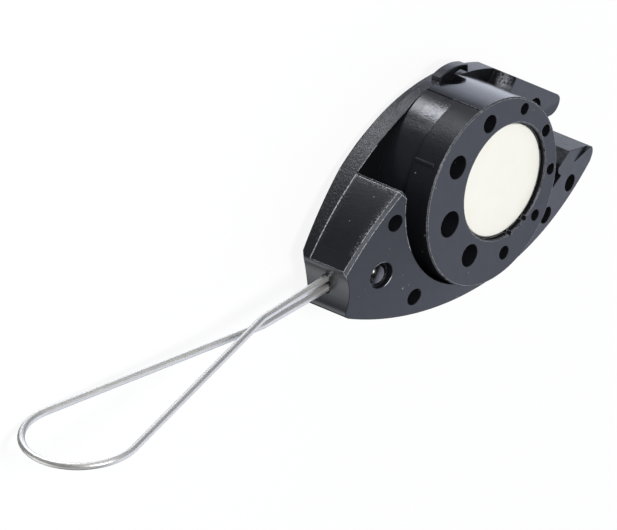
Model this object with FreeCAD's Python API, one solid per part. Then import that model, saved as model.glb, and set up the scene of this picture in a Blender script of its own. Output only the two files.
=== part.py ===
# Cable anchoring clamp: a fish-shaped moulded body, its drum, a marker disc, a cross pin and a wire bail.
# Millimetres. Origin on the drum axis at the level of the flat back; +X to the tail, +Z out of the drum face.
import FreeCAD
import Part

import math
import os

V = FreeCAD.Vector

# Levels above the flat back; the crown falls away from its top in a straight slope
BASE_FRONT = 7.3
FIN_FRONT = 15.6
DRUM_FRONT = 28.0
CROWN_TOP = 31.2
CROWN_FALL = 0.1655
CROWN_AT = (4.0, 4.0)

# Edges and the ramp under the nose
BACK_BEVEL = 1.2
HEAD_BEVEL = 0.9
RIM_BEVEL = 0.35
NOSE_RAMP_START = -27.0
NOSE_RAMP_ANGLE = 7.6
NOSE_TIP_START = -54.9
NOSE_TIP_ANGLE = 40.0
NOSE_TIP_TURN = 7.5

# Outline of the body seen along the drum axis; each side is a run of tangent arcs: radius, degrees
NOSE_UPPER = (-57.6, -3.6)
NOSE_HOLLOW = (-55.9, -10.8)
UPPER_HEADING = 49.54
UPPER_TURNS = [(96.3, 28.93), (56.7, 45.96)]
FIN_CORNER = (46.2, 6.5)
MOUTH_HOLLOW = (44.6, -2.6)
TAIL_TIP = (51.9, -9.7)
TAIL_LOWER = (49.1, -13.8)
LOWER_HEADING = 214.22
LOWER_TURNS = [(99.2, 31.87), (108.0, 30.51)]
HEAD_WALL = [(-61.0, -8.0), (-46.0, 7.65), (-28.0, 19.4)]
FIN_CORNER_ROUND = 3.2
TAIL_TIP_ROUND = 2.9
NOSE_ROUND = 2.1

# Drum
DRUM_RADIUS = 29.0
BARREL_RADIUS = 28.35
FLANGE_DEPTH = 9.5
FOOT_BACK = 2.2
FOOT_BEVEL = 1.5
SMOOTH_BLEND = 22.0
SMOOTH_FROM = 52.0
SMOOTH_TO = 98.0
RIDGE_AT = 141.0
RIDGE_HEIGHT = 0.4
RIDGE_WIDTH = 0.8
SEAM_AT = 97.0
SEAM_WIDTH = 0.35
SEAM_DEPTH = 0.35
SEAM_LENGTH = 11.0

# Round seat in the drum face and the disc in it
SEAT_AT = (5.7, 0.8)
SEAT_RADIUS = 18.0
SEAT_BEVEL = 0.3
DISC_GAP = 0.7
DISC_RADIUS = SEAT_RADIUS - DISC_GAP
DISC_CLEARANCE = 0.1
DISC_RECESS = 1.5
DISC_THICKNESS = 2.4
DISC_BEVEL = 0.2
NOTCH_ANGLES = (-85.0, -63.0)
NOTCH_RADIUS = 0.8

# Coring holes: X, Y, radius
DRUM_HOLES = [(-0.1, 22.9, 2.8), (-14.8, 15.1, 3.65), (-19.1, -2.0, 4.05), (-10.9, -16.3, 3.5), (4.2, -22.4, 2.1),
              (18.4, -16.3, 1.75), (25.9, -4.2, 1.75), (24.4, 9.4, 1.9), (15.3, 20.9, 1.8)]
DRUM_HOLE_DEPTH = 14.0
BLOCK_HOLES = [(-38.5, 6.0), (-31.1, -22.3), (38.0, -15.7), (25.8, -20.6)]
BLOCK_HOLE_RADIUS = 2.65
BLOCK_HOLE_DEPTH = 13.0
FIN_HOLE = (33.8, 8.7)
FIN_HOLE_DEPTH = 6.5

# Cable channel round the drum
HEAD_ARC_AT = (-1.54, 5.19)
HEAD_ARC_RADIUS = 33.09
HEAD_ARC_TOP = (-33.6, 13.4)
HEAD_CORNER = (-35.2, 15.55)
TAIL_TEETH = [(28.0, -12.6), (32.9, -10.5), (31.3, -8.8), (31.3, -7.2), (37.5, -4.5)]
LEDGE_AT = (39.7, -9.6)
LEDGE_HEADING = 3.0
LEDGE_FALL = 16.0

# Thin lip that stands out over the upper rim, and the scoop in the drum's side in front of it
LIP_ARC = [(1.5, 30.4), (7.5, 31.1), (13.8, 29.3)]
LIP_FOOT = (0.2, 27.0)
LIP_BACK = 4.8
LIP_FRONT = 7.9
LIP_WALL = 0.4
LIP_FLOOR = 5.4
SCOOP_AT = (7.3, 36.0, 7.9)
SCOOP_RADIUS = 9.0

# Wire bail, its plane and its pin
WIRE = 2.2
PULL_Y = -10.2
PULL_Z = 12.2
ENTRY_X = -55.6
ENTRY_SPREAD = 3.0
ENTRY_BEND = 20.0
APEX_X = -83.8
APEX_BEND = 9.0
HOOK_START = 55.0
LEG_ANGLE = 12.4
LOOP_TILT = 0.4
LOOP_RADIUS = 17.2
WIRE_CLEARANCE = 0.3
MOUTH_CLEARANCE = 0.2
MOUTH_SPREAD = (1.6, -2.0)
CHAMBER_X = -54.6
PIN_AT = (-44.0, -9.4)
PIN_SHANK = 1.6
PIN_HEAD = 3.2
PIN_HEAD_SIDE = 0.5
PIN_HEAD_DOME = 1.2
PIN_SEAT_RADIUS = 4.15
PIN_SEAT_DEPTH = 1.6
PIN_END = 4.5


def at(xy, z):
    return V(xy[0], xy[1], z)


def ring(centre, radius, z, height):
    return Part.makeCylinder(radius, height, at(centre, z))


def polar(radius, degrees, centre=(0.0, 0.0)):
    a = math.radians(degrees)
    return (centre[0] + radius * math.cos(a), centre[1] + radius * math.sin(a))


def line(p, q):
    return Part.makeLine(at(p, 0), at(q, 0))


def arc(p, q, r):
    return Part.Arc(at(p, 0), at(q, 0), at(r, 0)).toShape()


def chain(points):
    return [line(points[i], points[i + 1]) for i in range(len(points) - 1)]


def prism(edges, z, height):
    face = Part.Face(Part.Wire(edges))
    face.translate(V(0, 0, z))
    return face.extrude(V(0, 0, height))


def turns(start, heading, bends):
    """Tangent arcs that all turn clockwise from a point and a heading; gives the edges and the end point."""
    edges = []
    for radius, sweep in bends:
        centre = polar(radius, heading - 90, start)
        middle, end = [polar(radius, heading + 90 - share * sweep, centre) for share in (0.5, 1.0)]
        edges.append(arc(start, middle, end))
        start = end
        heading -= sweep
    return edges, start


def upright(solid, spots):
    """Straight upright edges of a solid that stand at the given plan positions."""
    found = []
    for edge in solid.Edges:
        a, b = edge.firstVertex().Point, edge.lastVertex().Point
        if abs(a.x - b.x) + abs(a.y - b.y) > 1e-4:
            continue
        if any(math.hypot(a.x - s[0], a.y - s[1]) < 0.2 for s in spots):
            found.append(edge)
    return found


def outline_prism(z, height):
    """The fish outline, with its corners rounded, from z upward."""
    upper, shoulder = turns(NOSE_UPPER, UPPER_HEADING, UPPER_TURNS)
    lower, nose_lower = turns(TAIL_LOWER, LOWER_HEADING, LOWER_TURNS)
    edges = upper + [line(shoulder, FIN_CORNER), arc(FIN_CORNER, MOUTH_HOLLOW, TAIL_TIP), line(TAIL_TIP, TAIL_LOWER)]
    solid = prism(edges + lower + [arc(nose_lower, NOSE_HOLLOW, NOSE_UPPER)], z, height)
    solid = solid.makeFillet(FIN_CORNER_ROUND, upright(solid, [FIN_CORNER]))
    solid = solid.makeFillet(TAIL_TIP_ROUND, upright(solid, [TAIL_TIP]))
    return solid.makeFillet(NOSE_ROUND, upright(solid, [NOSE_UPPER, nose_lower]))


def base_plate():
    """Flat back with a bevelled edge, rising in a ramp under the nose and more steeply at its tip."""
    plate = outline_prism(0, BASE_FRONT)
    plate = plate.makeChamfer(BACK_BEVEL, [e for e in plate.Edges if e.BoundBox.ZMax < 0.01])
    slope = math.tan(math.radians(NOSE_RAMP_ANGLE))
    far = NOSE_UPPER[0] - 10
    side = [(NOSE_RAMP_START, 0), (far, (NOSE_RAMP_START - far) * slope), (far, 0), (NOSE_RAMP_START, 0)]
    ramp = Part.Face(Part.makePolygon([V(x, -60, z) for x, z in side])).extrude(V(0, 120, 0))
    tip = Part.makeBox(20, 60, 20, V(-20, -30, -20))
    tip.rotate(V(0, 0, 0), V(0, 1, 0), NOSE_TIP_ANGLE)
    tip.rotate(V(0, 0, 0), V(0, 0, 1), NOSE_TIP_TURN)
    tip.translate(V(NOSE_TIP_START, NOSE_HOLLOW[1], (NOSE_RAMP_START - NOSE_TIP_START) * slope))
    return plate.cut([ramp, tip])


def crown():
    """Shallow cone that the head and tail blocks are cut to."""
    return Part.makeCone(CROWN_TOP / CROWN_FALL, 0, CROWN_TOP, at(CROWN_AT, 0))


def crown_level(xy):
    return CROWN_TOP - CROWN_FALL * math.hypot(xy[0] - CROWN_AT[0], xy[1] - CROWN_AT[1])


def channel():
    """Space round the drum that the head and tail blocks leave free."""
    middle, foot = polar(HEAD_ARC_RADIUS, 208, HEAD_ARC_AT), polar(HEAD_ARC_RADIUS, 265, HEAD_ARC_AT)
    inner = [foot, (10.0, -14.0), TAIL_TEETH[0]]
    out = [TAIL_TEETH[-1], (54.0, -11.1), (70.0, 0.0), (70.0, 60.0), (-35.4, 60.0), HEAD_CORNER, HEAD_ARC_TOP]
    edges = [arc(HEAD_ARC_TOP, middle, foot)] + chain(inner) + chain(TAIL_TEETH) + chain(out)
    return prism(edges, BASE_FRONT, DRUM_FRONT)


def blocks():
    """Head block, lower wall and tail block as one crowned piece standing on the base plate."""
    solid = outline_prism(BASE_FRONT, DRUM_FRONT - BASE_FRONT)
    outside = [arc(*HEAD_WALL)] + chain([HEAD_WALL[-1], (-28.0, 60.0), (-70.0, 60.0), HEAD_WALL[0]])
    solid = solid.common(crown()).cut([channel(), prism(outside, BASE_FRONT, DRUM_FRONT)])
    rims = upright(solid, [HEAD_CORNER]) + [e for e in solid.Edges if on_head_rim(e)]
    return solid.makeChamfer(HEAD_BEVEL, rims).cut(ledge())


def on_head_rim(edge):
    """True for the crown edges of the head block beside the upper wall and the channel mouth."""
    middle = edge.CenterOfMass
    outside = math.hypot(middle.x - HEAD_ARC_AT[0], middle.y - HEAD_ARC_AT[1]) > HEAD_ARC_RADIUS + 0.4
    return edge.BoundBox.ZMin > BASE_FRONT + 8 and middle.x < -20 and middle.y > 0 and outside


def ledge():
    """Space over the ledge that falls towards the tip of the tail, bounded by one upright wall."""
    foot = at(LEDGE_AT, crown_level(LEDGE_AT))
    plan = chain([LEDGE_AT, polar(30, LEDGE_HEADING, LEDGE_AT), polar(30, 116, LEDGE_AT), LEDGE_AT])
    above = Part.makeBox(60, 60, 10, V(-5, -20, 0))
    above.rotate(V(0, 0, 0), V(0, 1, 0), LEDGE_FALL)
    above.rotate(V(0, 0, 0), V(0, 0, 1), LEDGE_HEADING)
    above.translate(foot)
    return above.common(prism(plan, BASE_FRONT, 40))


def fin():
    """Low block on the upper side of the mouth."""
    inner = [(22.4, 18.9), (32.0, 11.2), (36.2, 5.4), (39.0, 2.6), (41.3, 2.5)]
    corner = (45.2, 6.6)
    edges = [arc((26.6, 24.6), (25.4, 20.6), inner[0])] + chain(inner) + [arc(inner[-1], (43.9, 3.7), corner)]
    edges += chain([corner, (52.0, 20.0), (52.0, 26.5), (26.6, 24.6)])
    return outline_prism(BASE_FRONT, FIN_FRONT - BASE_FRONT).common(prism(edges, BASE_FRONT, 20))


def sector(radius, start, end, z, height):
    """Upright wedge of a cylinder about the drum axis between two angles."""
    a, b = polar(radius, start), polar(radius, end)
    edges = [line((0, 0), a), arc(a, polar(radius, (start + end) / 2), b), line(b, (0, 0))]
    return prism(edges, z, height)


def barrel(z, height):
    """Barrel with the smooth sector, which is flush with the flange and runs back to the barrel in a spiral."""
    a, b = polar(DRUM_RADIUS, SMOOTH_FROM), polar(DRUM_RADIUS, SMOOTH_TO)
    blend = polar((DRUM_RADIUS + BARREL_RADIUS) / 2 + 0.08, SMOOTH_TO + SMOOTH_BLEND / 2)
    end, start = polar(BARREL_RADIUS, SMOOTH_TO + SMOOTH_BLEND), polar(BARREL_RADIUS, SMOOTH_FROM)
    edges = [arc(a, polar(DRUM_RADIUS, (SMOOTH_FROM + SMOOTH_TO) / 2), b), arc(b, blend, end),
             arc(end, polar(BARREL_RADIUS, SMOOTH_TO + 180), start), line(start, a)]
    return prism(edges, z, height)


def drum():
    """Foot, barrel and flange, with the ridge and the seam that run along the side."""
    flange_back = DRUM_FRONT - FLANGE_DEPTH
    flange = ring((0, 0), DRUM_RADIUS, flange_back, FLANGE_DEPTH)
    flange = flange.makeChamfer(RIM_BEVEL, [e for e in flange.Edges if e.BoundBox.ZMin > DRUM_FRONT - 0.01])
    foot = ring((0, 0), DRUM_RADIUS, FOOT_BACK, BASE_FRONT - FOOT_BACK)
    foot = foot.makeChamfer(FOOT_BEVEL, [e for e in foot.Edges if e.BoundBox.ZMax < FOOT_BACK + 0.01])
    solid = flange.fuse([barrel(BASE_FRONT, flange_back - BASE_FRONT), foot])
    half = math.degrees(RIDGE_WIDTH / 2 / DRUM_RADIUS)
    ridge = sector(DRUM_RADIUS + RIDGE_HEIGHT, RIDGE_AT - half, RIDGE_AT + half, flange_back, FLANGE_DEPTH - 2.4)
    half = math.degrees(SEAM_WIDTH / 2 / DRUM_RADIUS)
    seam = sector(DRUM_RADIUS + 1, SEAM_AT - half, SEAM_AT + half, DRUM_FRONT - SEAM_LENGTH, SEAM_LENGTH + 1)
    seam = seam.cut(ring((0, 0), DRUM_RADIUS - SEAM_DEPTH, 0, 40))
    return solid.fuse(ridge).cut(seam).removeSplitter()


def seat():
    """Stepped round recess for the marker disc, bevelled at its mouth, with two small notches in its wall."""
    shelf = DISC_RECESS + 0.5
    floor = DRUM_FRONT - DISC_RECESS - DISC_THICKNESS
    pocket = DISC_RADIUS + DISC_CLEARANCE
    steps = [(0, floor), (pocket, floor), (pocket, DRUM_FRONT - shelf), (SEAT_RADIUS, DRUM_FRONT - shelf),
             (SEAT_RADIUS, DRUM_FRONT - SEAT_BEVEL), (SEAT_RADIUS + 1, DRUM_FRONT - SEAT_BEVEL + 1), (0, DRUM_FRONT + 1)]
    profile = [V(r, 0, z) for r, z in steps]
    solid = Part.Face(Part.makePolygon(profile + profile[:1])).revolve(V(0, 0, 0), V(0, 0, 1), 360)
    solid.translate(V(SEAT_AT[0], SEAT_AT[1], 0))
    spots = [polar(SEAT_RADIUS + 0.2, angle, SEAT_AT) for angle in NOTCH_ANGLES]
    return solid.fuse([ring(spot, NOTCH_RADIUS, DRUM_FRONT - shelf, shelf + 0.4) for spot in spots])


def lip():
    """Thin curved lip outside the upper rim, open to the front, with a slanted wall at its left end."""
    a, b, c = LIP_ARC
    outside = [arc(a, b, c)] + chain([c, (c[0], LIP_FOOT[1]), LIP_FOOT, a])
    left, middle, right = (a[0] + 1.5 * LIP_WALL, a[1] - LIP_WALL), (b[0], b[1] - LIP_WALL), (c[0] - LIP_WALL, c[1])
    foot = (LIP_FOOT[0] + 1.5 * LIP_WALL, LIP_FOOT[1] - 1)
    inside = [arc(left, middle, right)] + chain([right, (right[0], foot[1]), foot, left])
    hollow = prism(inside, LIP_FLOOR, LIP_FRONT)
    return prism(outside, LIP_BACK, LIP_FRONT - LIP_BACK).cut(hollow)


def scoop():
    """Rounded hollow that runs from the lip's floor into the side of the drum."""
    ball = Part.makeSphere(SCOOP_RADIUS, V(*SCOOP_AT))
    return ball.cut(ring((0, 0), 2 * DRUM_RADIUS, -DRUM_FRONT, DRUM_FRONT + LIP_FLOOR))


def coring():
    """Blind round holes in the drum face, the blocks and the fin."""
    tools = [ring(h[:2], h[2], DRUM_FRONT - DRUM_HOLE_DEPTH, DRUM_HOLE_DEPTH + 1) for h in DRUM_HOLES]
    for xy in BLOCK_HOLES:
        level = crown_level(xy)
        tools.append(ring(xy, BLOCK_HOLE_RADIUS, level - BLOCK_HOLE_DEPTH, BLOCK_HOLE_DEPTH + 2))
    tools.append(ring(FIN_HOLE, BLOCK_HOLE_RADIUS, FIN_FRONT - FIN_HOLE_DEPTH, FIN_HOLE_DEPTH + 1))
    return tools


def wrap_radius():
    """Radius of the wire's centre line round the pin."""
    return PIN_SHANK + 0.1 + WIRE / 2


def wire_room():
    """Chamber in the nose that holds the wire ends, its mouth, and the stepped hole of the pin."""
    half_height = WIRE / 2 + WIRE_CLEARANCE
    low = PULL_Z - half_height
    near = ENTRY_SPREAD / 2 + WIRE / 2 + WIRE_CLEARANCE
    far = wrap_radius() + WIRE / 2 + WIRE_CLEARANCE
    front, back = CHAMBER_X, PIN_AT[0]
    plan = [(front, PULL_Y + near), (back, PIN_AT[1] + far), (back, PIN_AT[1] - far), (front, PULL_Y - near)]
    room = prism(chain(plan + plan[:1]), low, 2 * half_height).fuse(mouth())
    room = room.fuse(ring(PIN_AT, far, low, 2 * half_height))
    floor = pin_seat_floor()
    return room.fuse([ring(PIN_AT, PIN_SHANK, PIN_END, 30), ring(PIN_AT, PIN_SEAT_RADIUS, floor, 8)])


def mouth():
    """Slot with round ends in the end of the nose, close round the two strands."""
    radius = WIRE / 2 + MOUTH_CLEARANCE
    upper, lower = [PULL_Y + offset for offset in MOUTH_SPREAD]
    length = 8.0
    start = V(CHAMBER_X - length, 0, PULL_Z)
    ends = [Part.makeCylinder(radius, length, start + V(0, y, 0), V(1, 0, 0)) for y in (upper, lower)]
    middle = Part.makeBox(length, upper - lower, 2 * radius, start + V(0, lower, -radius))
    return middle.fuse(ends)


def pin_seat_floor():
    return crown_level(PIN_AT) - PIN_SEAT_DEPTH


def clamp_body():
    """The whole moulding."""
    solid = base_plate().fuse([drum(), blocks(), fin()])
    solid = solid.cut(seat()).cut(wire_room()).cut(coring())
    return solid.cut(scoop()).fuse(lip()).removeSplitter()


def marker_disc():
    """Plain round disc with a small bevel round its face."""
    z = DRUM_FRONT - DISC_RECESS - DISC_THICKNESS
    solid = ring(SEAT_AT, DISC_RADIUS, z, DISC_THICKNESS)
    return solid.makeChamfer(DISC_BEVEL, [e for e in solid.Edges if e.BoundBox.ZMin > z + DISC_THICKNESS - 0.01])


def bail_pin():
    """Cross pin with a domed head, turned about its own axis."""
    floor = pin_seat_floor()
    side = floor + PIN_HEAD_SIDE
    top = side + PIN_HEAD_DOME
    profile = [V(0, 0, PIN_END), V(PIN_SHANK - 0.3, 0, PIN_END), V(PIN_SHANK, 0, PIN_END + 0.3),
               V(PIN_SHANK, 0, floor), V(PIN_HEAD, 0, floor), V(PIN_HEAD, 0, side)]
    edges = [Part.makeLine(profile[i], profile[i + 1]) for i in range(len(profile) - 1)]
    radius = (PIN_HEAD ** 2 + PIN_HEAD_DOME ** 2) / (2 * PIN_HEAD_DOME)
    half = math.asin(PIN_HEAD / radius) / 2
    middle = V(radius * math.sin(half), 0, top - radius * (1 - math.cos(half)))
    edges.append(Part.Arc(profile[-1], middle, V(0, 0, top)).toShape())
    edges.append(Part.makeLine(V(0, 0, top), profile[0]))
    solid = Part.Face(Part.Wire(edges)).revolve(V(0, 0, 0), V(0, 0, 1), 360)
    solid.translate(V(PIN_AT[0], PIN_AT[1], 0))
    return solid


def rounded(points, radii):
    """Straight runs through the points, each inner corner rounded to its radius."""
    edges = []
    start = points[0]
    for i in range(1, len(points) - 1):
        p = points[i]
        back = (points[i - 1] - p).normalize()
        ahead = (points[i + 1] - p).normalize()
        turn = math.pi - back.getAngle(ahead)
        reach = radii[i - 1] * math.tan(turn / 2)
        a, b = p + back * reach, p + ahead * reach
        inward = (back + ahead).normalize()
        middle = p + inward * (radii[i - 1] / math.cos(turn / 2) - radii[i - 1])
        edges += [Part.makeLine(start, a), Part.Arc(a, middle, b).toShape()]
        start = b
    edges.append(Part.makeLine(start, points[-1]))
    return edges


def leg(y, degrees, length):
    """Point at a distance from the crossing, along a leg that rises by an angle in the plane of the loop."""
    a = math.radians(degrees)
    return V(APEX_X - length * math.cos(a), y, PULL_Z + length * math.sin(a))


def strand(side):
    """One half of the bail from its hooked tip to the start of the loop end; side is +1 or -1."""
    wrap = wrap_radius()
    crossing = V(APEX_X, PULL_Y + side * (WIRE / 2 + 0.02), PULL_Z)
    entry = at((ENTRY_X, PULL_Y + ENTRY_SPREAD / 2), PULL_Z)
    bends = [(entry, ENTRY_BEND)] if side > 0 else []
    bends.append((crossing, APEX_BEND))
    aim = bends[0][0]
    across, along = aim.y - PIN_AT[1], aim.x - PIN_AT[0]
    leave = math.degrees(math.atan2(across, along)) - side * math.degrees(math.acos(wrap / math.hypot(along, across)))
    first = side * HOOK_START
    sweep = (leave - first) % (side * 360)
    hook = [at(polar(wrap, first + share * sweep, PIN_AT), PULL_Z) for share in (0.0, 0.5, 1.0)]
    length = LOOP_RADIUS / math.tan(math.radians(LEG_ANGLE))
    points = [hook[2]] + [bend[0] for bend in bends] + [leg(PULL_Y, LOOP_TILT + side * LEG_ANGLE, length)]
    return [Part.Arc(hook[0], hook[1], hook[2]).toShape()] + rounded(points, [bend[1] for bend in bends])


def wire_bail():
    """One round wire: both ends hooked round the pin, two parallel strands, then a teardrop loop."""
    upper, lower = strand(1), strand(-1)
    far = LOOP_RADIUS / math.sin(math.radians(LEG_ANGLE)) + LOOP_RADIUS
    end = Part.Arc(upper[-1].Vertexes[-1].Point, leg(PULL_Y, LOOP_TILT, far), lower[-1].Vertexes[-1].Point)
    path = Part.Wire(Part.__sortEdges__(upper + [end.toShape()] + lower))
    first = upper[0]
    tip = first.valueAt(first.FirstParameter)
    heading = first.tangentAt(first.FirstParameter)
    section = Part.Wire(Part.makeCircle(WIRE / 2, tip, heading))
    return path.makePipeShell([section], True, False)


def build():
    os.makedirs("parts", exist_ok=True)
    pieces = {"clamp_body": clamp_body(), "marker_disc": marker_disc(), "bail_pin": bail_pin(), "wire_bail": wire_bail()}
    for name, shape in pieces.items():
        print(name, shape.isValid(), len(shape.Solids), round(shape.Volume, 1), shape.BoundBox)
        shape.Solids[0].exportStep("parts/" + name + ".step")


build()
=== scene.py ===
"""Finish, light and view of a cable anchoring clamp.

The solids come ready made and stay as they are. Each operator gives one of them its finish,
and the last one sets out the floor, the lamps and the camera.
"""

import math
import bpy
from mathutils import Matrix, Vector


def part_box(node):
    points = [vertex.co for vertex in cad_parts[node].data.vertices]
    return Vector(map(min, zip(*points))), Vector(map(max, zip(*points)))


bl_info = {
    "name": "Cable Anchoring Clamp",
    "version": (1, 0, 0),
    "blender": (4, 5, 0),
    "location": "View3D > Sidebar > Clamp",
    "description": "Finishes a moulded cable clamp and sets out its studio",
    "category": "Object",
}

from types import SimpleNamespace

import bpy
import numpy as np
from bpy.props import FloatProperty, FloatVectorProperty, PointerProperty
from mathutils import Matrix, Vector

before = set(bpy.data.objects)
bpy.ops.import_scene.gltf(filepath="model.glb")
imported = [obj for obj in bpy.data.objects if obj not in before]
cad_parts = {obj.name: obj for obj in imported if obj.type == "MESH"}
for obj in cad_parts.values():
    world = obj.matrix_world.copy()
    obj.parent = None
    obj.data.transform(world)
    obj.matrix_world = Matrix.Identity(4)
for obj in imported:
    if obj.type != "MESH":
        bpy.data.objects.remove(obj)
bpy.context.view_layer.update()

MM = 0.001

# Forms of the solids that the finish follows, in their own frame. Angles are in radians about the drum's axis.
PLATE_TOP = 7.3 * MM
FLANGE_BACK = 18.5 * MM
SEAM_ANGLE = math.radians(97.1)
SEAM_EDGES = (0.009, 0.004)  # angles off the seam's middle where its line ends and where it is full
SEAT_AT = (5.7 * MM, 0.8 * MM)
HEAD_HOLE = (-38.5 * MM, 6.0 * MM)
PIN_HEAD = 3.2 * MM
PIN_RECESS = 4.15 * MM
PIN_RECESS_LIT = (0.65, -0.76)  # heading of the recess's lit side

# Each place on the moulded body lies within limits. A limit says what is measured, at which value the
# place starts, and over what distance it fades in. With a negative distance the place ends there.
PLACES = {
    "drum": (("radius", 27.8 * MM, 0.2 * MM), ("radius", 29.5 * MM, -0.2 * MM), ("z", PLATE_TOP, 0.02 * MM)),
    "past_seam": (("angle", 0.25, 0.05), ("angle", SEAM_ANGLE, -0.003)),
    "barrel": (("z", FLANGE_BACK, -0.02 * MM),),
    "foot": (("radius", 26.5 * MM, 0.5 * MM), ("radius", 32.5 * MM, -0.5 * MM), ("z", 12.0 * MM, -0.5 * MM),
             ("angle", 1.8, 0.1)),
    "rim": (("z", 27.3 * MM, 0.3 * MM), ("radius", 27.9 * MM, 0.3 * MM)),
    "seat_edge": (("from_seat", 19.0 * MM, -0.2 * MM),),
    "in_seat": (("from_seat", 18.0 * MM, -0.1 * MM), ("z", 27.8 * MM, -0.1 * MM)),
    "lip": (("radius", 30.4 * MM, 0.2 * MM), ("angle", 1.05, 0.05), ("angle", 1.95, -0.05),
            ("z", 9.5 * MM, 0.5 * MM)),
    "head": (("x", -26.25 * MM, -0.25 * MM), ("y", -5.5 * MM, 0.5 * MM), ("radius", 31.5 * MM, 0.5 * MM),
             ("z", PLATE_TOP - 0.15 * MM, 0.15 * MM), ("from_hole", 3.4 * MM, 0.2 * MM)),
    "nose_end": (("x", -53.65 * MM, -0.15 * MM),),
    "plate_side": (("z", PLATE_TOP, -0.1 * MM),),
    "hollow": (("facing", 0.925, 0.025), ("z", PLATE_TOP + 0.2 * MM, -0.1 * MM)),
    "fin": (("facing", 0.85, 0.05), ("x", 20.5 * MM, 0.5 * MM), ("y", 5.5 * MM, 0.5 * MM),
            ("radius", 30.0 * MM, 0.5 * MM)),
    "tail_wall": (("x", 31.5 * MM, 0.5 * MM), ("y", 5.5 * MM, -0.5 * MM)),
    "tooth": (("x", 32.75 * MM, 0.25 * MM), ("x", 38.4 * MM, -0.2 * MM), ("y", -8.75 * MM, 0.25 * MM),
              ("y", -3.75 * MM, -0.25 * MM), ("leftward", -0.25, -0.05)),
}

# Patterns in the moulded plastic: the size of their lumps and their detail
PATTERNS = {
    "mottle": (0.70 * MM, 3.0),
    "glint": (0.48 * MM, 2.0),
    "coarse": (2.4 * MM, 3.0),
    "cloud": (14.0 * MM, 2.0),
    "fleck": (1.1 * MM, 0.0),
}

# Worn and lit patches: the middle of the shiny spot on the barrel, half its spread, the corner of the fin where a
# highlight is painted, and how far from the edges the painted sparkle thickens
SHINE_ANGLE = math.radians(114.5)
SHINE_HALF_ANGLE = math.radians(15.0)
SHINE_LEVEL = 17.0 * MM
SHINE_HALF_LEVEL = 7.0 * MM
FIN_SCUFF = (25.4 * MM, 20.7 * MM, 11.8 * MM)
NEAR_EDGE = 4.0 * MM

# Tone of the painted shade, which also darkens the seam's line, and tone of the painted highlight on the recess's
# lit edge; how far each dark place goes towards that shade; how far each pale mark (painted glints, sparkle and
# highlights, and pale flecks) goes towards the paler tone; and how much of the pale edge lines, partly worn and
# partly painted highlight, each edge shows
SHADE = (0.002, 0.002, 0.002)
RIM_TONE = (0.60, 0.61, 0.63)
DARKNESS = {"seam": 1.0, "hollow": 0.7, "in_seat": 0.8}
PALENESS = {"speck": 0.07, "pepper": 0.40, "fleck": 0.45, "fin": 0.42, "tooth": 0.12}
RUBBED_SHARE = {"head": 1.0, "rim": 0.55, "seat_edge": 0.45, "lip": 0.60}

# Gloss of the plain faces and walls and of the places that differ, and each place's share of the grain depth
GLOSS = {
    "faces": 0.50, "fin": 0.72, "walls": 0.36, "head": 0.29, "drum": 0.20, "tail_wall": 0.14, "barrel": 0.34,
}
GRAIN_SHARE = {"head": 0.35, "drum": 0.50, "faces": 0.12, "smooth": 0.06}

# Heights of the patterns that lie over the grain: all over, on the barrel, on the drum's grain and in the spot
RELIEF = {"cloud": 0.05 * MM, "barrel": 0.014 * MM, "drum": 0.06 * MM, "shine": 0.09 * MM}

# The other finishes: size of the cloud and the grain in the disc, spacing and draw of the wire's lines, size of
# its patches, spacing of the pin's rings, size of its patches, and the height of each one's relief
DISC_CLOUD, DISC_GRAIN, DISC_RELIEF = 9.0 * MM, 0.35 * MM, 0.006 * MM
DISC_EDGE = 0.25 * MM
WIRE_LINES, WIRE_DRAW, WIRE_PATCH, WIRE_RELIEF = 0.5 * MM, 0.04, 6.0 * MM, 0.004 * MM
PIN_RINGS, PIN_PATCH, PIN_RELIEF = 0.45 * MM, 1.6 * MM, 0.003 * MM


# Settings

class ClampPlasticSettings(bpy.types.PropertyGroup):
    colour: FloatVectorProperty(
        name="Colour", description="Colour of the moulded plastic",
        subtype="COLOR", size=3, min=0.0, max=1.0, default=(0.0095, 0.010, 0.0125))
    # Besides the worn edge lines and the pale flecks, this paler tone also paints glints, sparkle and highlights
    dust: FloatVectorProperty(
        name="Rubbed colour", description="Paler tone of the plastic on rubbed edges and grain",
        subtype="COLOR", size=3, min=0.0, max=1.0, default=(0.55, 0.56, 0.60))
    edge_radius: FloatProperty(
        name="Edge softness", description="Radius to which the light rounds the moulded edges",
        subtype="DISTANCE", unit="LENGTH", min=0.0, default=0.40 * MM)
    grain_size: FloatProperty(
        name="Grain size", description="Spacing of the eroded grain on the side walls",
        subtype="DISTANCE", unit="LENGTH", min=0.05 * MM, default=0.75 * MM)
    grain_depth: FloatProperty(
        name="Grain depth", description="Height of that grain",
        subtype="DISTANCE", unit="LENGTH", min=0.0, default=0.13 * MM)
    face_roughness: FloatProperty(
        name="Face roughness", description="Roughness of the drum face and the block tops",
        subtype="FACTOR", min=0.0, max=1.0, default=0.42)
    wall_roughness: FloatProperty(
        name="Wall roughness", description="Roughness of the grained side walls",
        subtype="FACTOR", min=0.0, max=1.0, default=0.40)
    smooth_roughness: FloatProperty(
        name="Smooth roughness", description="Roughness of the barrel and of the end of the nose",
        subtype="FACTOR", min=0.0, max=1.0, default=0.30)
    barrel_roughness: FloatProperty(
        name="Polished roughness", description="Roughness of the smooth sector and the shiny spot",
        subtype="FACTOR", min=0.0, max=1.0, default=0.20)


class ClampDiscSettings(bpy.types.PropertyGroup):
    colour: FloatVectorProperty(
        name="Colour", description="Colour of the marker disc",
        subtype="COLOR", size=3, min=0.0, max=1.0, default=(0.87, 0.85, 0.75))
    roughness: FloatProperty(
        name="Roughness", description="Roughness of the disc",
        subtype="FACTOR", min=0.0, max=1.0, default=0.45)


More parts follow.
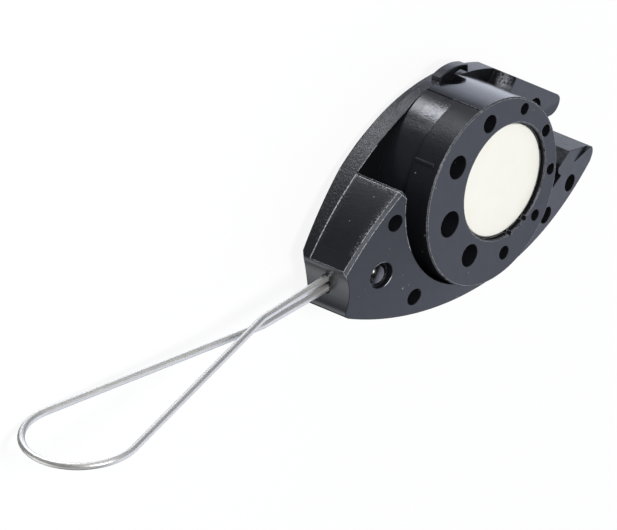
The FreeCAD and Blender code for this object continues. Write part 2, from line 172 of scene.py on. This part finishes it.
class ClampSteelSettings(bpy.types.PropertyGroup):
    wire_colour: FloatVectorProperty(
        name="Wire colour", description="Colour of the drawn stainless wire",
        subtype="COLOR", size=3, min=0.0, max=1.0, default=(0.62, 0.615, 0.60))
    wire_roughness: FloatProperty(
        name="Wire roughness", description="Roughness of the wire",
        subtype="FACTOR", min=0.0, max=1.0, default=0.42)
    pin_colour: FloatVectorProperty(
        name="Pin colour", description="Colour of the cross pin",
        subtype="COLOR", size=3, min=0.0, max=1.0, default=(0.10, 0.10, 0.105))
    pin_roughness: FloatProperty(
        name="Pin roughness", description="Roughness of the pin's head",
        subtype="FACTOR", min=0.0, max=1.0, default=0.18)


class ClampStageSettings(bpy.types.PropertyGroup):
    floor_colour: FloatVectorProperty(
        name="Floor colour", description="Colour of the floor and the surroundings",
        subtype="COLOR", size=3, min=0.0, max=1.0, default=(0.93, 0.93, 0.93))
    floor_width: FloatProperty(
        name="Floor width", description="Side of the square floor",
        subtype="DISTANCE", unit="LENGTH", min=0.5, default=3.0)
    key_power: FloatProperty(
        name="Key power", description="Power of the lamp that shines on the barrel",
        unit="POWER", min=0.0, default=4.6)
    fill_power: FloatProperty(
        name="Fill power", description="Power of the lamp over the drum face",
        unit="POWER", min=0.0, default=10.7)
    sky_level: FloatProperty(
        name="Sky level", description="Light level of the surroundings",
        min=0.0, default=1.0)
    lens: FloatProperty(
        name="Lens", description="Focal length of the camera",
        unit="CAMERA", min=50.0, default=1300.0)


# Node helpers

class Nodes:
    """Short hand for laying out a shader tree."""

    def __init__(self, tree):
        self.tree = tree

    def add(self, kind, inputs=None, **values):
        node = self.tree.nodes.new(kind)
        for name, value in values.items():
            setattr(node, name, value)
        for name, value in (inputs or {}).items():
            if isinstance(value, bpy.types.NodeSocket):
                self.tree.links.new(value, node.inputs[name])
            else:
                node.inputs[name].default_value = value
        return node

    def math(self, operation, *values):
        return self.add("ShaderNodeMath", dict(enumerate(values)), operation=operation).outputs[0]

    def vector(self, operation, a, b):
        """A number worked out from two vectors."""
        return self.add("ShaderNodeVectorMath", {0: a, 1: b}, operation=operation).outputs["Value"]

    def split(self, vector):
        axes = self.add("ShaderNodeSeparateXYZ", {"Vector": vector}).outputs
        return axes[0], axes[1], axes[2]

    def step(self, value, low, high):
        """0 below low, 1 above high, and a smooth rise in between; high may be the smaller."""
        if low > high:
            return self.math("SUBTRACT", 1.0, self.step(value, high, low))
        node = self.add("ShaderNodeMapRange", {"Value": value, "From Min": low, "From Max": high},
                        interpolation_type="SMOOTHSTEP")
        return node.outputs[0]

    def within(self, measures, limits):
        """1 where every limit of a place is kept, and 0 outside it."""
        masks = [self.step(measures[what], start - fade, start + fade) for what, start, fade in limits]
        return self.product(*masks)

    def product(self, *masks):
        result = masks[0]
        for mask in masks[1:]:
            result = self.math("MULTIPLY", result, mask)
        return result

    def most(self, *masks):
        result = masks[0]
        for mask in masks[1:]:
            result = self.math("MAXIMUM", result, mask)
        return result

    def most_of(self, at, shares):
        """The strongest of the masks that shares names, each times its share."""
        return self.most(*(self.product(getattr(at, name), share) for name, share in shares.items()))

    def total(self, *values):
        result = values[0]
        for value in values[1:]:
            result = self.math("ADD", result, value)
        return result

    def but(self, mask):
        """Everywhere apart from a mask."""
        return self.math("SUBTRACT", 1.0, mask)

    def swing(self, noise, amount):
        """Noise about its middle, times an amount."""
        return self.math("MULTIPLY", self.math("SUBTRACT", noise, 0.5), amount)

    def across(self, x, y, centre=(0.0, 0.0)):
        """Distance in plan from a centre."""
        parts = [self.math("SUBTRACT", value, middle) for value, middle in zip((x, y), centre)]
        squares = [self.math("MULTIPLY", part, part) for part in parts]
        return self.math("SQRT", self.math("ADD", *squares))

    def noise(self, place, size, detail=2.0, roughness=0.5):
        """Noise whose lumps are about size across."""
        node = self.add("ShaderNodeTexNoise", {"Vector": place, "Scale": 1.0 / size, "Detail": detail,
                                               "Roughness": roughness})
        return node.outputs["Fac"]

    def blend(self, amount, a, b):
        node = self.add("ShaderNodeMix", {"Factor": amount, "A": a, "B": b}, data_type="FLOAT")
        return node.outputs[0]

    def tint(self, amount, a, b):
        node = self.add("ShaderNodeMix", data_type="RGBA")
        for index, value in ((0, amount), (6, a), (7, b)):
            if isinstance(value, bpy.types.NodeSocket):
                self.tree.links.new(value, node.inputs[index])
            else:
                node.inputs[index].default_value = (*value, 1.0) if index else value
        return node.outputs[2]


def new_material(name, **sockets):
    """A material with one principled shader, its place in Object coordinates, and its node helper."""
    material = bpy.data.materials.new(name)
    material.use_nodes = True
    n = Nodes(material.node_tree)
    shader = material.node_tree.nodes["Principled BSDF"]
    for socket, value in sockets.items():
        shader.inputs[socket.replace("_", " ")].default_value = value
    place = n.add("ShaderNodeTexCoord").outputs["Object"]
    return material, n, shader, place


def paint(n, shader, tone, rough, relief, normal=None):
    """Links the tone, the roughness and the relief, a height in metres, to the shader."""
    inputs = {"Height": relief, "Distance": 1.0, "Strength": 1.0}
    if normal is not None:
        inputs["Normal"] = normal
    n.tree.links.new(tone, shader.inputs["Base Color"])
    n.tree.links.new(rough, shader.inputs["Roughness"])
    n.tree.links.new(n.add("ShaderNodeBump", inputs).outputs["Normal"], shader.inputs["Normal"])


def soft_edge(n, radius):
    """Normal of the surface with its edges rounded to a radius."""
    return n.add("ShaderNodeBevel", {"Radius": radius}, samples=6).outputs[0]


def shaded(colour, share):
    return tuple(share * part for part in colour)


def body_measures(n, place, normal):
    """What the places on the moulded body are measured by."""
    x, y, z = n.split(place)
    leftward, _, facing = n.split(normal)
    return {
        "x": x, "y": y, "z": z, "leftward": leftward, "facing": facing,
        "radius": n.across(x, y), "angle": n.math("ARCTAN2", y, x),
        "from_seat": n.across(x, y, SEAT_AT), "from_hole": n.across(x, y, HEAD_HOLE),
    }


def body_places(n, measures, mottle):
    """Masks, from 0 to 1, of the places on the moulded body."""
    at = SimpleNamespace(**{name: n.within(measures, limits) for name, limits in PLACES.items()})
    at.upright = n.step(n.math("ABSOLUTE", measures["facing"]), 0.75, 0.45)
    at.drum = n.product(at.upright, at.drum)
    at.past_seam = n.product(at.drum, at.past_seam)
    from_seam = n.math("ABSOLUTE", n.math("SUBTRACT", measures["angle"], SEAM_ANGLE))
    at.seam = n.product(at.drum, n.step(from_seam, *SEAM_EDGES))
    at.barrel = n.product(at.drum, at.barrel, n.but(at.past_seam))
    at.shine = n.product(at.barrel, shiny_spot(n, measures, mottle))
    at.smooth = n.most(n.product(at.upright, at.nose_end), at.barrel, at.past_seam)
    at.grained = n.product(at.upright, n.but(at.smooth))
    # Where shade is painted in the hollow channel floor and the seat, together with the dark line along the seam
    at.dark = n.most_of(at, DARKNESS)
    return at


def shiny_spot(n, measures, mottle):
    """Oval with a ragged border round the middle of the shiny spot on the barrel."""
    along = n.math("DIVIDE", n.math("SUBTRACT", measures["angle"], SHINE_ANGLE), SHINE_HALF_ANGLE)
    across = n.math("DIVIDE", n.math("SUBTRACT", measures["z"], SHINE_LEVEL), SHINE_HALF_LEVEL)
    reach = n.math("SQRT", n.total(n.product(along, along), n.product(across, across)))
    return n.step(n.total(n.swing(mottle, 1.2), reach), 1.3, 0.0)


def rubbed_edges(n, at, pattern, turned):
    """Pale broken lines along the edges, where the softened normal turns away from the surface's: partly worn
    edges and partly painted highlight where the light catches them.
    """
    lines = n.product(n.step(turned, 0.997, 0.95), n.step(pattern.glint, 0.30, 0.53))
    return n.product(lines, n.most_of(at, RUBBED_SHARE), n.step(pattern.coarse, 0.25, 0.5))


def pepper(n, at, pattern, nearing):
    """Painted sparkle: pale dots on the head block's walls, thickening towards their edges, where the light
    catches the grain.
    """
    return n.product(n.step(nearing, 0.998, 0.93), at.head, at.grained, n.step(pattern.glint, 0.44, 0.66))


def scrapes(n, at, pattern, place):
    """Painted highlights: a pale patch on the fin's corner where light falls, and painted light on the tooth's
    wall, which lies in shade.
    """
    on_fin = n.step(n.vector("DISTANCE", place, FIN_SCUFF), 3.4 * MM, 0.8 * MM)
    on_fin = n.product(on_fin, n.step(pattern.fine, 0.38, 0.62), PALENESS["fin"])
    on_tooth = n.product(at.upright, at.tooth, n.step(pattern.fine, 0.10, 0.70), PALENESS["tooth"])
    return n.most(on_fin, on_tooth)


def recess_edge(n, measures):
    """Painted highlight: a bright crescent on the lower right edge of the recess round the pin's head, its lit
    side.
    """
    low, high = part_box("bail_pin")
    pin_at = (high.x - PIN_HEAD, (low.y + high.y) / 2)
    x, y = measures["x"], measures["y"]
    aside = n.total(n.math("MULTIPLY", n.math("SUBTRACT", x, pin_at[0]), PIN_RECESS_LIT[0]),
                    n.math("MULTIPLY", n.math("SUBTRACT", y, pin_at[1]), PIN_RECESS_LIT[1]))
    from_pin = n.across(x, y, pin_at)
    ring = n.product(n.step(from_pin, PIN_RECESS + 0.02 * MM, PIN_RECESS + 0.06 * MM),
                     n.step(from_pin, PIN_RECESS + 0.42 * MM, PIN_RECESS + 0.26 * MM))
    return n.product(ring, n.step(aside, 0.92 * PIN_RECESS, 1.03 * PIN_RECESS),
                     n.step(measures["z"], 20.0 * MM, 21.0 * MM))


def body_tone(n, settings, at, pattern, marks):
    """Dark plastic with a faint cloud, painted shade in the hollow channel floor and the seat, a dark seam line, a
    few pale flecks, and painted glints, sparkle and highlights, with pale edge lines that are partly worn and
    partly painted highlight.
    """
    rubbed = tuple(settings.dust)
    # Painted glints: pale specks where the grain of the plate's side walls catches the light
    speck = n.product(n.step(pattern.glint, 0.52, 0.70), n.step(pattern.coarse, 0.3, 0.6))
    speck = n.product(speck, at.grained, at.plate_side)
    fleck = n.step(pattern.fleck, 0.865, 0.885)
    cloud = n.product(n.step(pattern.cloud, 0.3, 0.7), 0.25)
    tone = n.tint(cloud, settings.colour, shaded(settings.colour, 0.8))
    # Painted shade in the hollow channel floor and in the seat, and the seam's dark line
    tone = n.tint(at.dark, tone, SHADE)
    tone = n.tint(n.product(speck, PALENESS["speck"]), tone, rubbed)
    # Painted sparkle near the head block's edges, and painted highlights on the fin's corner and the tooth's wall
    tone = n.tint(n.most(n.product(marks.pepper, PALENESS["pepper"]), marks.scrapes), tone, rubbed)
    # Pale edge lines, partly worn and partly painted highlight, and the plastic's own pale flecks
    tone = n.tint(n.most(marks.rubbed, n.product(fleck, PALENESS["fleck"])), tone, rubbed)
    # Painted highlight on the lit side of the recess round the pin's head
    return n.tint(marks.recess_edge, tone, RIM_TONE)


def body_roughness(n, settings, at, pattern):
    rough = n.blend(at.grained, settings.face_roughness, settings.wall_roughness)
    rough = n.blend(at.smooth, rough, settings.smooth_roughness)
    rough = n.blend(n.most(at.shine, at.past_seam), rough, settings.barrel_roughness)
    return n.total(rough, n.swing(pattern.coarse, 0.12))


def body_gloss(n, at):
    walls = n.blend(at.drum, n.blend(at.head, GLOSS["walls"], GLOSS["head"]), GLOSS["drum"])
    walls = n.blend(at.tail_wall, walls, GLOSS["tail_wall"])
    gloss = n.blend(at.grained, n.blend(at.fin, GLOSS["faces"], GLOSS["fin"]), walls)
    gloss = n.blend(n.product(at.barrel, n.but(at.shine)), gloss, GLOSS["barrel"])
    # The gloss fades out where shade is painted and along the seam's line
    return n.product(gloss, n.but(at.dark))


def body_relief(n, settings, at, pattern, nearing):
    """Eroded grain, calm inside the head block's walls, on the drum, the faces and the smooth places."""
    depth = {place: share * settings.grain_depth for place, share in GRAIN_SHARE.items()}
    calm = n.product(at.head, n.step(nearing, 0.93, 0.998))
    grain = n.blend(at.drum, n.blend(calm, settings.grain_depth, depth["head"]), depth["drum"])
    grain = n.blend(at.smooth, n.blend(at.grained, depth["faces"], grain), depth["smooth"])
    return n.total(n.product(pattern.fine, grain), n.product(pattern.cloud, RELIEF["cloud"]),
                   n.product(pattern.mottle, at.barrel, RELIEF["barrel"]),
                   n.product(pattern.glint, at.drum, at.grained, RELIEF["drum"]),
                   n.product(pattern.glint, at.shine, RELIEF["shine"]))


def moulded_plastic(settings):
    """Dark moulding: grained side walls, smoother faces, a polished barrel, edges that are partly worn and partly
    painted highlight, and painted shade and light in its colour.
    """
    material, n, shader, place = new_material("moulded_plastic", Specular_Tint=(0.87, 0.91, 1.0, 1.0))
    geometry = n.add("ShaderNodeNewGeometry").outputs
    pattern = SimpleNamespace(fine=n.noise(place, settings.grain_size, detail=3.0, roughness=0.62))
    for name, (size, detail) in PATTERNS.items():
        setattr(pattern, name, n.noise(place, size, detail))
    measures = body_measures(n, place, geometry["True Normal"])
    at = body_places(n, measures, pattern.mottle)

    round_edge = soft_edge(n, n.blend(at.foot, settings.edge_radius, 0.02 * MM))
    turned = n.vector("DOT_PRODUCT", round_edge, geometry["Normal"])
    nearing = n.vector("DOT_PRODUCT", soft_edge(n, NEAR_EDGE), geometry["Normal"])
    marks = SimpleNamespace(
        rubbed=rubbed_edges(n, at, pattern, turned),
        scrapes=scrapes(n, at, pattern, place),
        pepper=pepper(n, at, pattern, nearing),
        recess_edge=recess_edge(n, measures),
    )
    paint(n, shader, body_tone(n, settings, at, pattern, marks), body_roughness(n, settings, at, pattern),
          body_relief(n, settings, at, pattern, nearing), round_edge)
    n.tree.links.new(body_gloss(n, at), shader.inputs["Specular IOR Level"])
    return material


def ivory_plastic(settings):
    """Pale disc: an even tone with a faint cloud in it and a very fine grain."""
    material, n, shader, place = new_material("ivory_plastic")
    cloud = n.noise(place, DISC_CLOUD)
    fine = n.noise(place, DISC_GRAIN)
    yellower = tuple(part * share for part, share in zip(settings.colour, (0.98, 0.965, 0.93)))
    tone = n.tint(n.product(n.step(cloud, 0.3, 0.75), 0.5), settings.colour, yellower)
    rough = n.total(settings.roughness, n.swing(cloud, 0.1))
    paint(n, shader, tone, rough, n.product(fine, DISC_RELIEF), soft_edge(n, DISC_EDGE))
    return material


def drawn_wire(settings):
    """Stainless wire: long faint die lines along the bail and small changes of polish."""
    material, n, shader, place = new_material("drawn_wire", Metallic=0.75)
    lines = n.add("ShaderNodeMapping", {"Vector": place, "Scale": (WIRE_DRAW, 1.0, 1.0)}).outputs[0]
    streak = n.noise(lines, WIRE_LINES, detail=3.0, roughness=0.6)
    patch = n.noise(place, WIRE_PATCH, detail=3.0)
    tone = n.tint(n.product(n.step(streak, 0.42, 0.7), 0.3), settings.wire_colour,
                  shaded(settings.wire_colour, 0.78))
    rough = n.total(settings.wire_roughness, n.swing(patch, 0.2))
    paint(n, shader, tone, rough, n.product(streak, WIRE_RELIEF))
    return material


def turned_pin(settings):
    """Blackened steel pin head, smooth, with faint turning rings about its own axis."""
    material, n, shader, place = new_material("turned_pin", Metallic=1.0)
    low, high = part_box("bail_pin")
    x, y, _ = n.split(place)
    radius = n.across(x, y, ((low.x + high.x) / 2, (low.y + high.y) / 2))
    rings = n.math("SINE", n.product(radius, 2 * math.pi / PIN_RINGS))
    patch = n.noise(place, PIN_PATCH)
    tone = n.tint(n.step(patch, 0.35, 0.7), settings.pin_colour, shaded(settings.pin_colour, 0.75))
    rough = n.total(settings.pin_roughness, n.product(patch, 0.05))
    paint(n, shader, tone, rough, n.product(rings, PIN_RELIEF))
    return material


def give_finish(node, material):
    """Puts a material on a CAD node in place of its plain one."""
    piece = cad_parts.get(node)
    if piece is None:
        raise RuntimeError("the frame has no node named " + node)
    for spot in piece.material_slots:
        spot.material = material


class CLAMP_OT_finish_body(bpy.types.Operator):
    """Give the moulded body its dark plastic"""
    bl_idname = "clamp.finish_body"
    bl_label = "Finish body"

    def execute(self, context):
        give_finish("clamp_body", moulded_plastic(context.scene.clamp_plastic))
        return {"FINISHED"}


class CLAMP_OT_finish_disc(bpy.types.Operator):
    """Give the marker disc its ivory plastic"""
    bl_idname = "clamp.finish_disc"
    bl_label = "Finish disc"

    def execute(self, context):
        give_finish("marker_disc", ivory_plastic(context.scene.clamp_disc))
        return {"FINISHED"}


class CLAMP_OT_finish_steel(bpy.types.Operator):
    """Give the wire bail and the cross pin their steel"""
    bl_idname = "clamp.finish_steel"
    bl_label = "Finish wire and pin"

    def execute(self, context):
        give_finish("wire_bail", drawn_wire(context.scene.clamp_steel))
        give_finish("bail_pin", turned_pin(context.scene.clamp_steel))
        return {"FINISHED"}


# Stage

CAMERA_AIM = Vector((-43.54, -16.49, -5.58)) * MM
CAMERA_RIGHT = Vector((0.654124, -0.030611, 0.755768))
CAMERA_UP = Vector((0.402161, 0.860323, -0.313228))
CAMERA_BACK = Vector((-0.640616, 0.508830, 0.575068))
VIEW_WIDTH = 179.02 * MM
SENSOR = 36.0

# Where the bail's loop and the tail's back edge touch the floor, the second counted from the tail's end, how far
# the floor's middle lies past the loop, and how much of the floor's own shading the camera loses to white
LOOP_TOUCH = -165.0 * MM
TAIL_TOUCH = 2.0 * MM
FLOOR_MIDDLE = 100.0 * MM
FLOOR_GLOW = 0.90

# Lamps: heading from the object, distance, width and height
KEY_LAMP = ((0.063, 0.815, -0.575), 1.0, 0.24, 0.26)
FILL_LAMP = ((-0.35, 0.35, 0.87), 1.2, 0.30, 0.30)
LAMP_AIM = Vector((0.0, 0.0, 0.01))

# Soft bright zones of the surroundings: heading, cosine at the rim, cosine where it is full, light level
SKY_BASE = 0.025
COOL_ZONES = (
    ((0.64, -0.51, 0.575), 0.60, 0.95, 1.48),
    ((0.80, 0.20, -0.575), 0.85, 0.98, 2.2),
)
SKY_ZONES = (
    ((-0.36, 0.72, -0.575), 0.85, 0.98, 0.12),
    ((-0.77, 0.30, -0.575), 0.85, 0.98, 0.12),
    ((-0.64, -0.51, -0.575), 0.80, 0.97, 1.95),
    ((-0.60, -0.65, 0.46), 0.82, 0.97, 0.6),
    ((0.10, 0.95, 0.30), 0.80, 0.95, 0.8),
)


def sheet(name, centre, across, along):
    """Flat sheet centre + u * across + v * along, for u and v from -1 to 1, on a two by two grid."""
    u, v = np.meshgrid([-1.0, 1.0], [-1.0, 1.0], indexing="ij")
    points = np.array(centre) + u[..., None] * np.array(across) + v[..., None] * np.array(along)
    mesh = bpy.data.meshes.new(name)
    mesh.from_pydata(points.reshape(-1, 3).tolist(), [], [(0, 2, 3, 1)])
    thing = bpy.data.objects.new(name, mesh)
    bpy.context.scene.collection.objects.link(thing)
    return thing


def floor_paint(settings):
    """Pale floor that the camera sees as white, with the object's own shadow still on it."""
    material = bpy.data.materials.new("floor_paint")
    material.use_nodes = True
    tree = material.node_tree
    tree.nodes.clear()
    n = Nodes(tree)
    seen = n.add("ShaderNodeLightPath").outputs["Is Camera Ray"]
    matt = n.add("ShaderNodeBsdfDiffuse", {"Color": (*settings.floor_colour, 1.0)}).outputs[0]
    glow = n.add("ShaderNodeEmission", {"Color": (1.0, 1.0, 1.0, 1.0), "Strength": 1.0}).outputs[0]
    both = n.add("ShaderNodeMixShader", {0: n.product(seen, FLOOR_GLOW), 1: matt, 2: glow}).outputs[0]
    n.add("ShaderNodeOutputMaterial", {"Surface": both})
    return material


def surroundings(settings):
    """White to the camera, and dim with soft bright zones to everything else."""
    world = bpy.data.worlds.new("surroundings")
    world.use_nodes = True
    tree = world.node_tree
    tree.nodes.clear()
    n = Nodes(tree)
    heading = n.add("ShaderNodeTexCoord").outputs["Generated"]

    def zone_level(zone, rim, full, amount, under):
        lean = n.vector("DOT_PRODUCT", heading, tuple(Vector(zone).normalized()))
        return n.math("MULTIPLY_ADD", n.step(lean, rim, full), amount, under)

    def glow(colour, zones, level):
        for zone in zones:
            level = zone_level(*zone, level)
        level = n.math("MULTIPLY", level, settings.sky_level)
        return n.add("ShaderNodeBackground", {"Color": (*colour, 1.0), "Strength": level}).outputs[0]

    plain = glow((1.0, 1.0, 1.0), SKY_ZONES, SKY_BASE)
    cool = glow((0.82, 0.87, 1.0), COOL_ZONES, 0.0)
    light = n.add("ShaderNodeAddShader", {0: plain, 1: cool}).outputs[0]
    white = n.add("ShaderNodeBackground", {"Color": (1.0, 1.0, 1.0, 1.0), "Strength": 1.0}).outputs[0]
    seen = n.add("ShaderNodeLightPath").outputs["Is Camera Ray"]
    both = n.add("ShaderNodeMixShader", {0: seen, 1: light, 2: white}).outputs[0]
    n.add("ShaderNodeOutputWorld", {"Surface": both})
    return world


def soft_lamp(name, heading, distance, width, height, power):
    """Rectangular lamp that looks at the object from a heading."""
    data = bpy.data.lights.new(name, "AREA")
    data.shape = "RECTANGLE"
    data.size, data.size_y = width, height
    data.energy = power
    lamp = bpy.data.objects.new(name, data)
    heading = Vector(heading).normalized()
    lamp.location = LAMP_AIM + heading * distance
    lamp.rotation_mode = "QUATERNION"
    lamp.rotation_quaternion = heading.to_track_quat("Z", "Y")
    bpy.context.scene.collection.objects.link(lamp)
    return lamp


class CLAMP_OT_build_stage(bpy.types.Operator):
    """Lay the floor and set out the lamps, the surroundings and the camera"""
    bl_idname = "clamp.build_stage"
    bl_label = "Build stage"

    def execute(self, context):
        settings = context.scene.clamp_stage
        self.lay_floor(settings)
        soft_lamp("key_lamp", *KEY_LAMP, settings.key_power)
        soft_lamp("fill_lamp", *FILL_LAMP, settings.fill_power)
        context.scene.world = surroundings(settings)
        self.place_camera(context, settings)
        return {"FINISHED"}

    def lay_floor(self, settings):
        """The floor leans a little, so that the loop and the tail's back edge both touch it."""
        low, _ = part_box("wire_bail")
        _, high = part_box("clamp_body")
        slope = Vector((high.x - TAIL_TOUCH - LOOP_TOUCH, 0.0, -low.z)).normalized()
        middle = Vector((LOOP_TOUCH, 0.0, low.z)) + slope * FLOOR_MIDDLE
        half = settings.floor_width / 2
        floor = sheet("floor", middle, slope * half, Vector((0.0, half, 0.0)))
        floor.data.materials.append(floor_paint(settings))
        floor.visible_glossy = False
        floor.visible_shadow = False

    def place_camera(self, context, settings):
        data = bpy.data.cameras.new("photo_camera")
        data.sensor_width = SENSOR
        data.lens = settings.lens
        distance = VIEW_WIDTH * settings.lens / SENSOR
        data.clip_start, data.clip_end = 0.1, 100.0
        camera = bpy.data.objects.new("photo_camera", data)
        turn = Matrix((CAMERA_RIGHT, CAMERA_UP, CAMERA_BACK)).transposed()
        camera.matrix_world = Matrix.Translation(CAMERA_AIM + CAMERA_BACK * distance) @ turn.to_4x4()
        context.scene.collection.objects.link(camera)
        context.scene.camera = camera
        context.scene.view_settings.view_transform = "Standard"


class CLAMP_PT_panel(bpy.types.Panel):
    """Sizes, colours and steps of the clamp"""
    bl_label = "Cable clamp"
    bl_idname = "CLAMP_PT_panel"
    bl_space_type = "VIEW_3D"
    bl_region_type = "UI"
    bl_category = "Clamp"

    def draw(self, context):
        scene = context.scene
        rows = (
            (scene.clamp_plastic, "clamp.finish_body"),
            (scene.clamp_disc, "clamp.finish_disc"),
            (scene.clamp_steel, "clamp.finish_steel"),
            (scene.clamp_stage, "clamp.build_stage"),
        )
        for settings, step in rows:
            box = self.layout.box()
            for name in settings.__annotations__:
                box.prop(settings, name)
            box.operator(step)


SETTINGS = {
    "clamp_plastic": ClampPlasticSettings,
    "clamp_disc": ClampDiscSettings,
    "clamp_steel": ClampSteelSettings,
    "clamp_stage": ClampStageSettings,
}
CLASSES = (
    *SETTINGS.values(),
    CLAMP_OT_finish_body,
    CLAMP_OT_finish_disc,
    CLAMP_OT_finish_steel,
    CLAMP_OT_build_stage,
    CLAMP_PT_panel,
)


def register():
    for cls in CLASSES:
        bpy.utils.register_class(cls)
    for name, settings in SETTINGS.items():
        setattr(bpy.types.Scene, name, PointerProperty(type=settings))


def unregister():
    for name in SETTINGS:
        delattr(bpy.types.Scene, name)
    for cls in reversed(CLASSES):
        bpy.utils.unregister_class(cls)


def main():
    register()
    bpy.ops.clamp.finish_body()
    bpy.ops.clamp.finish_disc()
    bpy.ops.clamp.finish_steel()
    bpy.ops.clamp.build_stage()


if __name__ == "__main__":
    main()
